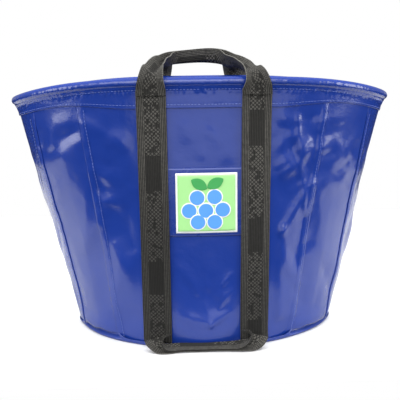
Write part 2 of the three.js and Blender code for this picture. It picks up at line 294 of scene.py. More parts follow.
def fold(round_, level, start, end, width, rise, sharp):
    """A rounded ridge along a line, fading out at both ends."""
    start, end = np.array(start) * MM, np.array(end) * MM
    line = end - start
    length = np.hypot(*line)
    line = line / length
    along = (round_ - start[0]) * line[0] + (level - start[1]) * line[1]
    away = (round_ - start[0]) * line[1] - (level - start[1]) * line[0]
    share = np.clip(along / length, 0, 1)
    past = np.maximum(np.abs(along / length - 0.5) - 0.5, 0) * length
    half = width * MM * (0.55 + 0.9 * share * (1 - share) * 2)
    side = np.where(away > 0, sharp, 1.0)
    shape = 1 / (1 + (away / (half * side)) ** 2) ** 1.5
    return rise * MM * shape * np.exp(-(past / (0.9 * half)) ** 2)


# Where the film is crumpled: ends round from the middle of a face, levels, how many creases,
# their lean from upright in degrees, their lengths, and the slope on each side. Millimetres.
CRUMPLED = (
    ((-235, -96), (205, 330), 17, (15, 80), (14, 42), (0.05, 0.13)),
    ((96, 235), (205, 330), 20, (15, 80), (14, 42), (0.06, 0.15)),
    ((-46, 46), (268, 335), 7, (20, 80), (14, 30), (0.01, 0.03)),
    ((-200, -98), (25, 200), 8, (0, 28), (30, 80), (0.05, 0.12)),
    ((98, 200), (25, 200), 10, (0, 28), (30, 80), (0.06, 0.14)),
    ((-46, 46), (22, 130), 6, (10, 75), (14, 40), (0.02, 0.05)),
    ((215, 330), (40, 330), 20, (0, 60), (20, 60), (0.05, 0.13)),
    ((-330, -215), (40, 330), 20, (0, 60), (20, 60), (0.05, 0.13)),
    ((96, 140), (262, 335), 7, (10, 70), (12, 30), (0.06, 0.14)),
    ((-150, -96), (240, 320), 4, (10, 60), (14, 34), (0.06, 0.13)),
)


def random_creases(seed):
    """(round, level, direction, length, slope) of straight creases scattered over one face."""
    rng = np.random.default_rng(seed)
    rows = []
    for ends, levels, count, leans, lengths, slopes in CRUMPLED:
        for k in range(count):
            lean = math.radians(rng.uniform(*leans)) * rng.choice((-1, 1))
            rows.append((rng.uniform(*ends), rng.uniform(*levels), lean, rng.uniform(*lengths),
                         rng.uniform(*slopes) * rng.choice((-1, 1))))
    return rows


# Longer creases that show plainly on the front: round, level, lean, length and slope.
LONG_CREASES = [
    (120, 105, -0.08, 115, 0.13),
    (-124, 100, 0.10, 110, 0.12),
    (166, 185, -0.06, 95, 0.11),
    (-168, 190, 0.06, 95, 0.10),
    (-104, 215, -0.55, 45, -0.10),
    (106, 292, 0.20, 50, 0.12),
    (124, 262, -0.70, 34, 0.10),
    (24, 50, 1.15, 26, 0.06),
    (-16, 92, -0.9, 36, 0.05),
]
FRONT_CREASES = LONG_CREASES + random_creases(21)
BACK_CREASES = LONG_CREASES + random_creases(22)


def crumple(round_, level, rows, soft=1.3 * MM):
    """Straight sharp creases with flat ground on both sides, each fading out round its middle."""
    total = 0
    for centre, at_level, lean, length, slope in rows:
        beside, up = round_ - centre * MM, level - at_level * MM
        along = beside * math.sin(lean) + up * math.cos(lean)
        away = beside * math.cos(lean) - up * math.sin(lean)
        wide = 0.45 * length * MM + 6 * MM
        window = np.exp(-(along / (0.62 * length * MM)) ** 4 - (away / wide) ** 2)
        total = total - slope * (np.sqrt(away ** 2 + soft ** 2) - wide / 3) * window
    return total


def all_folds(arc, height):
    width = half_width(height) / MOUTH_HALF_WIDTH
    level = height * RIM_HEIGHT
    total = 0
    for middle, mirror, creases in ((0, 1, FRONT_CREASES), (HALF, -1, BACK_CREASES)):
        local = from_middle(arc, middle)
        round_ = local * width * mirror
        shown = 1 - smooth(np.abs(local), HALF / 2 - 30 * MM, HALF / 2)
        for row in FRONT_FOLDS:
            total = total + shown * fold(round_, level, *row)
        total = total + shown * crumple(round_, level, creases)
    return total


def dents(arc, height):
    """How far the sheet stands out of the plain wall."""
    plain = plain_wall(turn_at(arc), height)
    away = strap_shield(arc, height)
    free = smooth(height, 0.0, 0.1) * (1 - smooth(height, 0.84, 0.95))
    gap = seam_distance(arc)
    broad = BROAD_DENT * BROAD(plain * [5.0, 5.0, 4.0] + 3.1)
    small = SMALL_DENT * crease(FINE(plain * [30.0, 30.0, 22.0] + 1.7))
    fine = FINE_DENT * FINE(plain * [75.0, 75.0, 60.0])
    seam_pull = SEAM_DENT * PUCKER(plain * [30.0, 30.0, 95.0]) * bump(gap, 0, 12 * MM)
    seam_rise = SEAM_DENT * bump(gap, 0, 9 * MM)
    total = broad + (small + fine) * (0.3 + 0.7 * away) + seam_pull * away + seam_rise
    return total * free + all_folds(arc, height) * (0.25 + 0.75 * away) * free + shape_low(arc, height)


# Where the foot stands out or in: middle as a share of the half round, half width, how far.
LEANS = ((0.50, 120, 7.5), (-0.36, 50, -3.0))


def lean(arc, height):
    """The foot stands out at the right end and in at the left front corner."""
    total = 0
    for middle, width, out in LEANS:
        total = total + out * MM * bump(from_middle(arc, middle * HALF), 0, width * MM)
    return total * (1 - smooth(height, 0.30, 0.72))


def shape_low(arc, height):
    return corner_facets(arc, height) + foot_lip(arc, height) + lean(arc, height)


def corner_facets(arc, height):
    """Flat facets below the rim: the sheet pulls in at the seams and cuts its round corners."""
    low = 1 - smooth(height, 0.45, 0.95)
    pulled = 0
    for sign in (-1, 1):
        for middle in (0, HALF):
            side = sign * from_middle(arc, middle)
            pulled = pulled + tent(side, FRONT_ARC - 48 * MM, FRONT_ARC, FRONT_ARC + 40 * MM)
    return -FACET_DEPTH * pulled * low


def corner_share(arc):
    """1 in the middle of a corner panel, falling to 0 beside it."""
    share = 0
    for start, end in zip(SEAM_ARCS[0::2], SEAM_ARCS[1::2]):
        away = np.abs(from_middle(arc, (start + end) / 2))
        share = share + 1 - smooth(away, 30 * MM, 58 * MM)
    return share


def foot_lip(arc, height):
    """The corner panels bulge out just above their lower edge."""
    return LIP_DEPTH * corner_share(arc) * bump(height, 0.045, 0.035)


def wall(arc, height, offset=0.0, dented=True):
    """A point on the wall at a distance outside its middle surface."""
    arc, height = np.broadcast_arrays(np.asarray(arc, float), np.asarray(height, float))
    turn = turn_at(arc)
    step = 1e-3
    round_ = plain_wall(turn + step, height) - plain_wall(turn - step, height)
    up = plain_wall(turn, height + step) - plain_wall(turn, height - step)
    normal = np.cross(round_, up)
    normal /= np.linalg.norm(normal, axis=-1, keepdims=True)
    out = offset + (dents(arc, height) if dented else 0)
    return plain_wall(turn, height) + normal * np.asarray(out)[..., None] * np.ones(3)


def height_at_depth(arc, depth):
    """The height at a distance from the rim's top, measured down the wall."""
    turn = turn_at(arc)
    whole = plain_wall(turn, np.ones_like(turn)) - plain_wall(turn, np.zeros_like(turn))
    return 1 - depth / np.linalg.norm(whole, axis=-1)


# ---------- mesh builders

def grid_normals(points, cyclic=False):
    """Unit normals of a grid of points (rows, columns, 3)."""
    if cyclic:
        along = np.roll(points, -1, axis=1) - np.roll(points, 1, axis=1)
    else:
        along = np.gradient(points, axis=1)
    up = np.gradient(points, axis=0)
    normal = np.cross(along, up)
    return normal / np.maximum(np.linalg.norm(normal, axis=-1, keepdims=True), 1e-12)


def new_piece(name, points, faces, material, uvs=None):
    """A smooth-shaded mesh object from points, faces and per-vertex UVs in metres."""
    mesh = bpy.data.meshes.new(name)
    mesh.from_pydata([tuple(p) for p in points], [], faces)
    mesh.polygons.foreach_set("use_smooth", [True] * len(mesh.polygons))
    if uvs is not None:
        layer = mesh.uv_layers.new(name="sheet")
        loops = np.zeros(len(mesh.loops), int)
        mesh.loops.foreach_get("vertex_index", loops)
        layer.data.foreach_set("uv", np.asarray(uvs)[loops].ravel())
    mesh.materials.append(material)
    mesh.update()
    piece = bpy.data.objects.new(name, mesh)
    bpy.context.scene.collection.objects.link(piece)
    return piece


def grid_faces(rows, columns, start, flip=False, cyclic=False):
    faces = []
    for row in range(rows - 1):
        for column in range(columns if cyclic else columns - 1):
            beside = (column + 1) % columns
            face = [start + row * columns + column, start + row * columns + beside,
                    start + (row + 1) * columns + beside, start + (row + 1) * columns + column]
            faces.append(face[::-1] if flip else face)
    return faces


def rim_loops(rows, columns, cyclic):
    """The border cells of a grid, as closed runs of vertex numbers."""
    bottom = list(range(columns))
    top = [(rows - 1) * columns + column for column in range(columns)]
    if cyclic:
        return [bottom, top[::-1]]
    right = [row * columns + columns - 1 for row in range(1, rows - 1)]
    left = [row * columns for row in range(1, rows - 1)]
    return [bottom + right + top[::-1] + left[::-1]]


def sheet_piece(name, outer, inner, material, uv, cyclic=False, capped=False):
    """A closed thin sheet between two grids of points, (rows, columns, 3) each.

    A capped sheet is cyclic, and a flat cap on each face closes the small ring of its first row.
    """
    rows, columns = outer.shape[:2]
    count = rows * columns
    points = np.concatenate([outer.reshape(-1, 3), inner.reshape(-1, 3)])
    faces = grid_faces(rows, columns, 0, cyclic=cyclic)
    faces += grid_faces(rows, columns, count, flip=True, cyclic=cyclic)
    loops = rim_loops(rows, columns, cyclic)
    if capped:
        ring = loops.pop(0)
        faces += [ring[::-1], [corner + count for corner in ring]]
    for loop in loops:
        for here, there in zip(loop, loop[1:] + loop[:1]):
            faces.append([here, here + count, there + count, there])
    uvs = np.concatenate([uv.reshape(-1, 2), uv.reshape(-1, 2)])
    return new_piece(name, points, faces, material, uvs)


def thick_sheet(name, middle, thickness, material, uv, cyclic=False, capped=False):
    """A closed thin sheet about a grid of middle points."""
    half = grid_normals(middle, cyclic) * thickness / 2
    return sheet_piece(name, middle + half, middle - half, material, uv, cyclic, capped)


def place(piece, body, slot, *nodes):
    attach(piece, body)
    if nodes:
        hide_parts(*nodes)
    return piece


# ---------- materials

class Nodes:
    """Short calls for building a procedural material."""

    def __init__(self, name):
        self.material = bpy.data.materials.new(name)
        self.material.use_nodes = True
        self.tree = self.material.node_tree
        self.shader = self.tree.nodes["Principled BSDF"]
        self.coordinates = self.tree.nodes.new("ShaderNodeTexCoord")
        self.uv = self.tree.nodes.new("ShaderNodeUVMap")
        self.uv.uv_map = "sheet"

    def link(self, start, end):
        self.tree.links.new(start, end)
        return end

    def set(self, **values):
        for name, value in values.items():
            socket = self.shader.inputs[name.replace("_", " ")]
            socket.default_value = value
        return self

    def math(self, operation, first, second=None, third=None):
        node = self.tree.nodes.new("ShaderNodeMath")
        node.operation = operation
        for socket, value in zip(node.inputs, (first, second, third)):
            if value is None:
                continue
            if isinstance(value, (int, float)):
                socket.default_value = value
            else:
                self.link(value, socket)
        return node.outputs[0]

    def noise(self, scale, detail=2.0, roughness=0.5):
        node = self.tree.nodes.new("ShaderNodeTexNoise")
        node.inputs["Scale"].default_value = scale
        node.inputs["Detail"].default_value = detail
        node.inputs["Roughness"].default_value = roughness
        self.link(self.coordinates.outputs["Object"], node.inputs["Vector"])
        return node.outputs["Fac"]

    def ramp(self, value, *stops):
        node = self.tree.nodes.new("ShaderNodeValToRGB")
        fill_ramp(node.color_ramp, stops)
        self.link(value, node.inputs["Fac"])
        return node.outputs["Color"]

    def across_along(self):
        node = self.tree.nodes.new("ShaderNodeSeparateXYZ")
        self.link(self.uv.outputs["UV"], node.inputs["Vector"])
        return node.outputs["X"], node.outputs["Y"]

    def wave(self, value, pitch, phase=0.0):
        """A cosine of a length, from 0 to 1."""
        turns = self.math("MULTIPLY_ADD", value, 2 * math.pi / pitch, phase)
        return self.math("MULTIPLY_ADD", self.math("COSINE", turns), 0.5, 0.5)

    def mix(self, share, first, second):
        node = self.tree.nodes.new("ShaderNodeMix")
        node.data_type = "RGBA"
        self.link(share, node.inputs["Factor"])
        for socket, value in (("A", first), ("B", second)):
            colour = [s for s in node.inputs if s.name == socket and s.type == "RGBA"][0]
            if isinstance(value, tuple):
                colour.default_value = (*value, 1)
            else:
                self.link(value, colour)
        return [s for s in node.outputs if s.type == "RGBA"][0]

    def bump(self, height, strength, distance, under=None):
        node = self.tree.nodes.new("ShaderNodeBump")
        node.inputs["Strength"].default_value = strength
        node.inputs["Distance"].default_value = distance
        self.link(height, node.inputs["Height"])
        if under is not None:
            self.link(under, node.inputs["Normal"])
        return node.outputs["Normal"]


PVC_BLUE = (0.008, 0.034, 0.250)
PATCH_BLUE = (0.008, 0.033, 0.238)
SCRIM_PITCH = 1.1 * MM


def grey(value):
    return (value, value, value)


def fill_ramp(ramp, stops):
    """Give a colour ramp its stops, as (position, colour) pairs."""
    while len(ramp.elements) < len(stops):
        ramp.elements.new(0.5)
    for element, (position, colour) in zip(ramp.elements, stops):
        element.position = position
        element.color = (*colour, 1)


def coated_fabric(name, colour, roughness, coat):
    """Glossy coated fabric: smooth film over a scrim whose weave shows faintly."""
    n = Nodes(name)
    n.set(Base_Color=(*colour, 1), IOR=1.5, Specular_IOR_Level=0.58, Coat_Weight=coat, Coat_Roughness=0.09)
    across, along = n.across_along()
    weave = n.math("ADD", n.wave(across, SCRIM_PITCH), n.wave(along, SCRIM_PITCH))
    mottle = n.noise(34.0, 3.0)
    n.link(n.math("MULTIPLY_ADD", mottle, 0.10, roughness - 0.05), n.shader.inputs["Roughness"])
    scrim = n.bump(weave, 0.10, 0.05 * MM)
    soft = n.bump(n.noise(45.0, 4.0, 0.62), 0.48, 1.3 * MM, scrim)
    n.link(soft, n.shader.inputs["Normal"])
    return n.material


# Webbing colours. The dark and light ends of each ramp paint shade in the weave's hollows and highlight on
# its crests; WEB_DARK also paints the shade towards the straps' foot.
WEB_DARK = grey(0.004)
WEB_MID = (0.034, 0.033, 0.030)
WEB_LIGHT = (0.150, 0.145, 0.132)
BAND_DARK = grey(0.006)
BAND_LIGHT = (0.036, 0.035, 0.032)
FIGURE = (0.105, 0.101, 0.092)
BAND_HALF = 10.5 * MM
LOZENGE = 5.4 * MM


# Painted shade on the straps: how much of the webbing's own colour shows, by height in metres above the
# foot; the rest is painted dark.
FOOT_SHADE = ((0.0, grey(0.45)), (0.11, grey(0.50)), (0.24, grey(0.92)), (0.34, grey(1.0)))


def woven_webbing(name, shaded_foot=False):
    """Webbing with ribbed borders and a darker band woven with small lozenges in stretches, optionally
    with painted shade that darkens it towards the foot.
    """
    n = Nodes(name)
    n.set(Specular_IOR_Level=0.14)
    across, along = n.across_along()
    middle = n.math("ABSOLUTE", n.math("SUBTRACT", across, WEBBING_WIDTH / 2))
    band = n.math("LESS_THAN", middle, BAND_HALF)
    ribs = n.wave(across, 2.3 * MM)
    picks = n.wave(along, 1.5 * MM)
    slant = n.wave(n.math("ADD", middle, along), LOZENGE)
    counter = n.wave(n.math("SUBTRACT", middle, along), LOZENGE)
    lozenge = n.math("GREATER_THAN", n.math("MULTIPLY", slant, counter), 0.17)
    patchy = n.math("GREATER_THAN", n.noise(150.0, 1.0), 0.43)
    stretch = n.math("GREATER_THAN", n.wave(along, 150 * MM, 0.6), 0.24)
    figure = n.math("MULTIPLY", n.math("MULTIPLY", lozenge, band), n.math("MULTIPLY", stretch, patchy))
    # Painted highlight and shade: the crests of the ribs and picks are painted lighter and their hollows
    # darker, with a random tone mixed in; the ground and the band take their colour from this.
    weave_light_and_shade = n.math("MULTIPLY_ADD", ribs, 0.55, n.math("MULTIPLY", picks, 0.30))
    worn = n.math("MULTIPLY_ADD", n.noise(260.0, 3.0), 0.5, -0.10)
    ground = n.ramp(n.math("ADD", weave_light_and_shade, worn), (0.0, WEB_DARK), (0.55, WEB_MID), (1.0, WEB_LIGHT))
    darker = n.ramp(n.math("ADD", weave_light_and_shade, worn), (0.0, BAND_DARK), (1.0, BAND_LIGHT))
    colour = n.mix(figure, n.mix(band, ground, darker), FIGURE)
    # Painted shade: the strap grows darker towards its foot, where less light reaches it.
    if shaded_foot:
        colour = n.mix(n.ramp(along, *FOOT_SHADE), WEB_DARK, colour)
    n.link(colour, n.shader.inputs["Base Color"])
    n.link(n.math("MULTIPLY_ADD", figure, -0.15, 0.62), n.shader.inputs["Roughness"])
    height = n.math("ADD", n.math("MULTIPLY_ADD", figure, 1.2, ribs), n.math("MULTIPLY", picks, 0.5))
    n.link(n.bump(height, 0.9, 0.45 * MM), n.shader.inputs["Normal"])
    return n.material


def plain_finish(name, colour, roughness):
    """A plain finish with a faint grain."""
    n = Nodes(name)
    n.set(Base_Color=(*colour, 1), Roughness=roughness)
    n.link(n.bump(n.noise(400.0), 0.12, 0.1 * MM), n.shader.inputs["Normal"])
    return n.material


BLUE = coated_fabric("blue_coated_fabric", PVC_BLUE, 0.25, 0.34)
PATCH = coated_fabric("patch_coated_fabric", PATCH_BLUE, 0.28, 0.26)
WEB = woven_webbing("woven_webbing")
# The straps carry painted shade that darkens them towards their foot.
STRAP_WEB = woven_webbing("strap_webbing", shaded_foot=True)
THREAD = plain_finish("thread", (0.15, 0.21, 0.55), 0.45)
DARK_THREAD = plain_finish("dark_thread", (0.02, 0.02, 0.02), 0.6)
HOOP = plain_finish("hoop_plastic", (0.025, 0.026, 0.028), 0.45)
WHITE_INK = plain_finish("white_ink", (0.86, 0.88, 0.88), 0.32)
GREEN_INK = plain_finish("green_ink", (0.38, 0.76, 0.29), 0.32)
SKY_INK = plain_finish("sky_ink", (0.10, 0.34, 0.90), 0.32)
LEAF_INK = plain_finish("leaf_ink", (0.05, 0.36, 0.09), 0.32)


# ---------- the wall panels

COLUMN = 3.0 * MM
ROW = 3.2 * MM
LAP = 7 * MM
UNDERLAP = 2.5 * MM
FINE_EDGE = 12 * MM
LAP_RISE = 1.15 * MM
PANEL_FOOT = 2.4 * MM
CORNER_RISE = 9.4 * MM
CORNER_RECESS = 6.5 * MM


def panel_table():
    """Each panel's name, the arcs of its two seams, and whether it lies over its neighbours."""
    f, s, h = FRONT_ARC, SIDE_ARC, HALF
    return [
        ("front_panel", -f, f, True),
        ("front_right_corner_panel", f, s, False),
        ("right_side_panel", s, h - s, True),
        ("back_right_corner_panel", h - s, h - f, False),
        ("back_panel", h - f, h + f, True),
        ("back_left_corner_panel", h + f, h + s, False),
        ("left_side_panel", h + s, 2 * h - s, True),
        ("front_left_corner_panel", 2 * h - s, 2 * h - f, False),
    ]


def edge_steps(start, end, step):
    """Evenly spaced arcs, with finer steps close to both ends."""
    count = max(4, int(round((end - start) / step)))
    middle = np.linspace(start, end, count + 1)
    inside = (middle > start + FINE_EDGE) & (middle < end - FINE_EDGE)
    fine = np.linspace(0, FINE_EDGE, 9)
    return np.unique(np.concatenate([middle[inside], start + fine, end - fine]))


def build_panel(name, start, end, over):
    grow = LAP if over else UNDERLAP
    arcs = edge_steps(start - grow, end + grow, COLUMN)
    tall = RIM_HEIGHT - RIM_DROOP
    levels = np.linspace(0, 1, int(tall / ROW) + 1)
    levels = np.unique(np.concatenate([levels, np.linspace(0, 0.07, 14)]))
    arc, share = np.meshgrid(arcs, levels)
    ragged = 0.7 * FINE(np.stack([arc * 60, arc * 0, arc * 0], axis=-1))
    foot = (PANEL_FOOT + CORNER_RISE * corner_share(arc) * (1 + ragged)) / MEAN_RIM_HEIGHT
    top = height_at_depth(arc, PANEL_TOP_DEPTH)
    height = foot + share * (top - foot)
    offset = np.zeros_like(arc)
    if over:
        inside = np.minimum(arc - start, end - arc)
        offset = LAP_RISE * (1 - smooth(inside, -0.5 * MM, 5 * MM)) * (1 - smooth(height, 0.86, 0.93))
    uv = np.stack([arc, height * tall], axis=-1)
    piece = thick_sheet(name + "_sheet", wall(arc, height, offset), SHEET, BLUE, uv)
    place(piece, "tub", "blue_pvc", name)


for row in panel_table():
    build_panel(*row)


# ---------- the base

BASE_SHEET = 1.4 * MM
BASE_STAND = 1.55 * MM
BASE_ROUND = 2.2 * MM
BEHIND_PANEL = 2.9 * MM
# The upturned strip's last rows: millimetres above its straight part, everywhere and at a corner.
STRIP_EDGE = ((0.3, 0.7), (0.8, 4.2), (1.0, 8.0), (1.2, 11.0))


def base_floor(edge):
    """Rings of the base from its middle to its edge, then up round its bend."""
    rows = []
    for share in np.concatenate([[0.015], np.linspace(0.06, 0.98, 26)]):
        ring = edge * share
        ring[:, 2] = BASE_SHEET / 2
        rows.append(ring)
    out = edge.copy()
    out[:, 2] = 0
    inward = -out / np.linalg.norm(out, axis=1, keepdims=True)
    for turn in np.linspace(0, math.pi / 2, 6):
        ring = edge + inward * BASE_ROUND * (1 - math.sin(turn))
        ring[:, 2] = BASE_SHEET / 2 + BASE_ROUND * (1 - math.cos(turn))
        rows.append(ring)
    return rows


def base_strip(arcs):
    """Rings of the strip turned up outside the walls. At a corner it sinks in behind the fold."""
    corner = corner_share(arcs)
    recess = CORNER_RECESS * smooth(corner, 0.45, 0.85)
    behind = np.minimum(recess, BEHIND_PANEL)
    ragged = 0.4 * MM * FINE(np.stack([arcs * 30, arcs * 0, arcs * 0], axis=-1))
    tall = (4.4 - 1.0 * corner) * MM + ragged
    lift = BASE_SHEET / 2
    sides = [(lift + BASE_ROUND + (tall - BASE_ROUND) * share, 0 * corner) for share in (0.4, 0.8, 1.0)]
    for (plain, more), inset in zip(STRIP_EDGE, (0.8 * recess, recess, behind, behind)):
        sides.append((lift + tall + (plain + more * corner) * MM, inset))
    rows = []
    for level, inset in sides:
        height = level / MEAN_RIM_HEIGHT
        rows.append(wall(arcs, height, BASE_STAND - inset + lean(arcs, height), dented=False))
    return rows


def build_base():
    arcs = np.arange(0, ROUND, 4 * MM)
    edge = wall(arcs, np.zeros_like(arcs), BASE_STAND + lean(arcs, 0), dented=False)
    middle = np.stack(base_floor(edge) + base_strip(arcs))
    piece = thick_sheet("base_sheet", middle, BASE_SHEET, BLUE, middle[..., :2], cyclic=True, capped=True)
    place(piece, "tub", "blue_pvc", "base_panel")


build_base()


# ---------- the rim

HEAD_CENTRE = 7.3 * MM
HEAD_RADIUS = 6.0 * MM
NECK_DEPTH = 17 * MM
LEG_OFFSET = 1.45 * MM
HEAD_OPEN = math.radians(38)
HEM_DEPTH = 37.2 * MM
# Millimetres down the band's leg, then how far it stands out more and more towards the hoop.
LEG_DEPTHS = (42, 41, 39, 37.2, 35, 32, 29, 26)
LEG_FLARE = ((0.08, 23.5), (0.25, 21.5), (0.5, 19.5), (0.85, 17.5), (1.45, 15.5), (2.2, 13.6))


def band_profile():
    """(offset, depth) pairs of the band's middle, up the outside, over the hoop and down inside."""
    leg = [(LEG_OFFSET, depth * MM) for depth in LEG_DEPTHS]
    leg += [(LEG_OFFSET + extra * MM, depth * MM) for extra, depth in LEG_FLARE]
    head = []
    for angle in np.linspace(HEAD_OPEN - math.pi / 2, 1.5 * math.pi - HEAD_OPEN, 25):
        head.append((HEAD_RADIUS * math.cos(angle), HEAD_CENTRE - HEAD_RADIUS * math.sin(angle)))
    other = [(-offset, depth) for offset, depth in reversed(leg)]
    return leg + head + other


def band_depth(depth, arc):
    """A depth on the band: below the neck the band grows narrower towards the bag's two ends."""
    to_end = HALF / 2 - np.abs(np.mod(arc, HALF) - HALF / 2)
    narrow = 0.48 * smooth(to_end, 95 * MM, 215 * MM)
    return depth - narrow * np.maximum(depth - NECK_DEPTH, 0)


def band_wrinkles(arc, depth, side):
    """How far the band's two faces stand out of its plain profile."""
    away = strap_shield(arc, np.ones_like(arc))
    ripple = np.stack([arc * 210, side * 3.0 + 9, depth * 90], axis=-1)
    wrinkle = PUCKER(ripple) + 0.5 * FINE(ripple * 2.1)
    near_stitch = bump(depth, NECK_DEPTH + 1.5 * MM, 3.6 * MM)
    lower = 0.4 * bump(depth, 34 * MM, 4 * MM)
    head = 1.1 * MM * bump(depth, 6.5 * MM, 6 * MM) * np.maximum(wrinkle, -0.15)
    plain = plain_wall(turn_at(arc), np.ones_like(arc))
    soft = MIDDLE(plain * 26.0 + 5.0) * 0.6 * MM * (1 - smooth(depth, 20 * MM, 34 * MM))
    press = bump(depth, NECK_DEPTH, 1.2 * MM) * 0.35 * MM + bump(depth, HEM_DEPTH, 0.8 * MM) * 0.2 * MM
    total = (near_stitch * 1.5 + lower) * MM * wrinkle * (0.15 + 0.85 * away) + head * away
    return side * (total + soft * smooth(depth, 8 * MM, 14 * MM) - press)


def build_band():
    arcs = np.arange(0, ROUND, 1.5 * MM)
    profile = np.array(band_profile())
    offset = np.repeat(profile[:, :1], len(arcs), axis=1)
    arc = np.repeat(arcs[None, :], len(profile), axis=0)
    depth = band_depth(profile[:, 1:], arc)
    middle = wall(arc, height_at_depth(arc, depth), offset + band_wrinkles(arc, depth, np.sign(offset)))
    along = lengths_along(profile)
    uv = np.stack([arc, np.repeat(along[:, None], len(arcs), axis=1)], axis=-1)
    piece = thick_sheet("rim_band_sheet", middle, SHEET, BLUE, uv, cyclic=True)
    place(piece, "tub", "blue_pvc", "rim_band")


build_band()


# ---------- sewing threads

STITCH_SIDES = 6
# Share of the length and share of the radius, from one end of a thread to the other.
STITCH_PROFILE = ((0.0, 0.25), (0.12, 0.8), (0.5, 1.0), (0.88, 0.8), (1.0, 0.25))
STITCH_RADIUS = 0.32 * MM
STITCH_PITCH = 4.6 * MM
STITCH_SHARE = 0.72
STRAP_STITCH_RADIUS = 0.30 * MM
STRAP_STITCH_PITCH = 4.2 * MM
STRAP_STITCH_LENGTH = 2.9 * MM
LAST_STITCH = 3.6 * MM
NECK_LIFT = 0.95 * MM
SEAM_INSET = 3.2 * MM
# How far the middle of a thread lies above the sheet.
ABOVE = 0.05 * MM
SEAM_NAMES = ("front_right", "right_front", "right_back", "back_right",
              "back_left", "left_back", "left_front", "front_left")


def stitch(start, end, radius, up):
    """The points of one short round thread, ring by ring, bulging up in the middle."""
    line = end - start
    tangent = line / np.linalg.norm(line)
    beside = np.cross(tangent, up)
    points = []
    for share, size in STITCH_PROFILE:
        centre = start + line * share + up * radius * 0.6 * math.sin(share * math.pi)
        for k in range(STITCH_SIDES):
            angle = 2 * math.pi * k / STITCH_SIDES
            points.append(centre + radius * size * (beside * math.cos(angle) + up * math.sin(angle)))
    return points


def stitches(name, starts, ends, radius, material, outs):
    """A row of threads, each from its start to its end."""
    points, faces = [], []
    rings = len(STITCH_PROFILE)
    for start, end, out in zip(starts, ends, outs):
        first = len(points)
        points += stitch(start, end, radius, out / np.linalg.norm(out))
        faces += grid_faces(rings, STITCH_SIDES, first, cyclic=True)
        faces.append(list(range(first, first + STITCH_SIDES))[::-1])
        last = first + (rings - 1) * STITCH_SIDES
        faces.append(list(range(last, last + STITCH_SIDES)))
    return new_piece(name, points, faces, material, np.zeros((len(points), 2)))


def points_at(where, along, line):
    """Points at lengths along a line."""
    return np.stack([np.interp(where, along, line[:, k]) for k in range(3)], axis=-1)


def wall_stitches(name, arcs, heights, offsets):
    """A row of stitches along a line on the wall."""
    line = wall(arcs, heights, offsets)
    out = wall(arcs, heights, offsets + 1 * MM) - line
    along = lengths_along(line)
    begins = np.arange(0, along[-1] - STITCH_PITCH, STITCH_PITCH)
    starts = points_at(begins, along, line)
    ends = points_at(begins + STITCH_SHARE * STITCH_PITCH, along, line)
    piece = stitches(name, starts, ends, STITCH_RADIUS, THREAD, points_at(begins, along, out))
    place(piece, "tub", "blue_pvc")


def sew_rim():
    arcs = np.arange(0, ROUND, 1 * MM)
    for side, face in ((1, "outer"), (-1, "inner")):
        for depth, row, more in ((NECK_DEPTH, "neck", NECK_LIFT), (HEM_DEPTH, "hem", 0)):
            offset = side * (LEG_OFFSET + more + SHEET / 2 + ABOVE)
            heights = height_at_depth(arcs, band_depth(depth, arcs))
            wall_stitches(f"rim_{row}_{face}_stitches", arcs, heights, offset)


def sew_seams():
    """A row of stitches through each lap, on the panel that lies over."""
    heights = np.linspace(0.02, 0.905, 150)
    for k, (name, seam) in enumerate(zip(SEAM_NAMES, SEAM_ARCS)):
        over = 1 if k % 4 in (0, 3) else -1
        arcs = np.full_like(heights, seam) + over * SEAM_INSET
        wall_stitches(f"{name}_seam_stitches", arcs, heights, LAP_RISE + SHEET / 2 + ABOVE)


sew_rim()
sew_seams()


# ---------- webbing

# Free webbing: points across it, and how far its lengthwise fold takes to turn.
RIBBON_COLUMNS = 25
RIBBON_TURN = 3.6 * MM


def ribbon_section(fold):
    """Points across webbing: across, beside and into, flat at fold 0 and folded shut at fold 1."""
    across = np.linspace(-WEBBING_WIDTH / 2, WEBBING_WIDTH / 2, RIBBON_COLUMNS)
    fine = np.linspace(-WEBBING_WIDTH / 2, WEBBING_WIDTH / 2, 241)
    angle = fold * math.radians(86) * smooth(np.abs(fine), 0, RIBBON_TURN)
    step = fine[1] - fine[0]
    beside = np.cumsum(np.cos(angle)) * step
    into = np.cumsum(np.sin(angle) * np.sign(fine)) * step
    beside -= np.interp(0, fine, beside)
    into -= np.interp(0, fine, into)
    return across + WEBBING_WIDTH / 2, np.interp(across, fine, beside), np.interp(across, fine, into)


def spline(stations, count):
    """Values between stations on a smooth curve, evenly spaced by length of the first three."""
    knots = lengths_along(stations[:, :3])
    slopes = np.gradient(stations, knots, axis=0)
    at = np.linspace(0, knots[-1], count)
    cell = np.clip(np.searchsorted(knots, at, side="right") - 1, 0, len(knots) - 2)
    length = knots[cell + 1] - knots[cell]
    t = ((at - knots[cell]) / length)[:, None]
    length = length[:, None]
    h00, h10 = 2 * t ** 3 - 3 * t ** 2 + 1, t ** 3 - 2 * t ** 2 + t
    h01, h11 = -2 * t ** 3 + 3 * t ** 2, t ** 3 - t ** 2
    return (h00 * stations[cell] + h10 * length * slopes[cell]
            + h01 * stations[cell + 1] + h11 * length * slopes[cell + 1])


def unit(vectors):
    return vectors / np.maximum(np.linalg.norm(vectors, axis=-1, keepdims=True), 1e-12)


def press_down(points, away):
    """Keep points above the ground; what would pass it slides away along y instead."""
    level, soft = 1.0 * MM, 1.2 * MM
    lifted = level + soft * np.logaddexp(0, (points[..., 2] - level) / soft)
    points[..., 1] += away * 0.8 * (lifted - points[..., 2])
    points[..., 2] = lifted
    return points


def relaxed(rows, passes):
    """Rows of points evened out along the webbing, with both ends kept."""
    for _ in range(passes):
        rows[1:-1] = 0.25 * rows[:-2] + 0.5 * rows[1:-1] + 0.25 * rows[2:]
    return rows


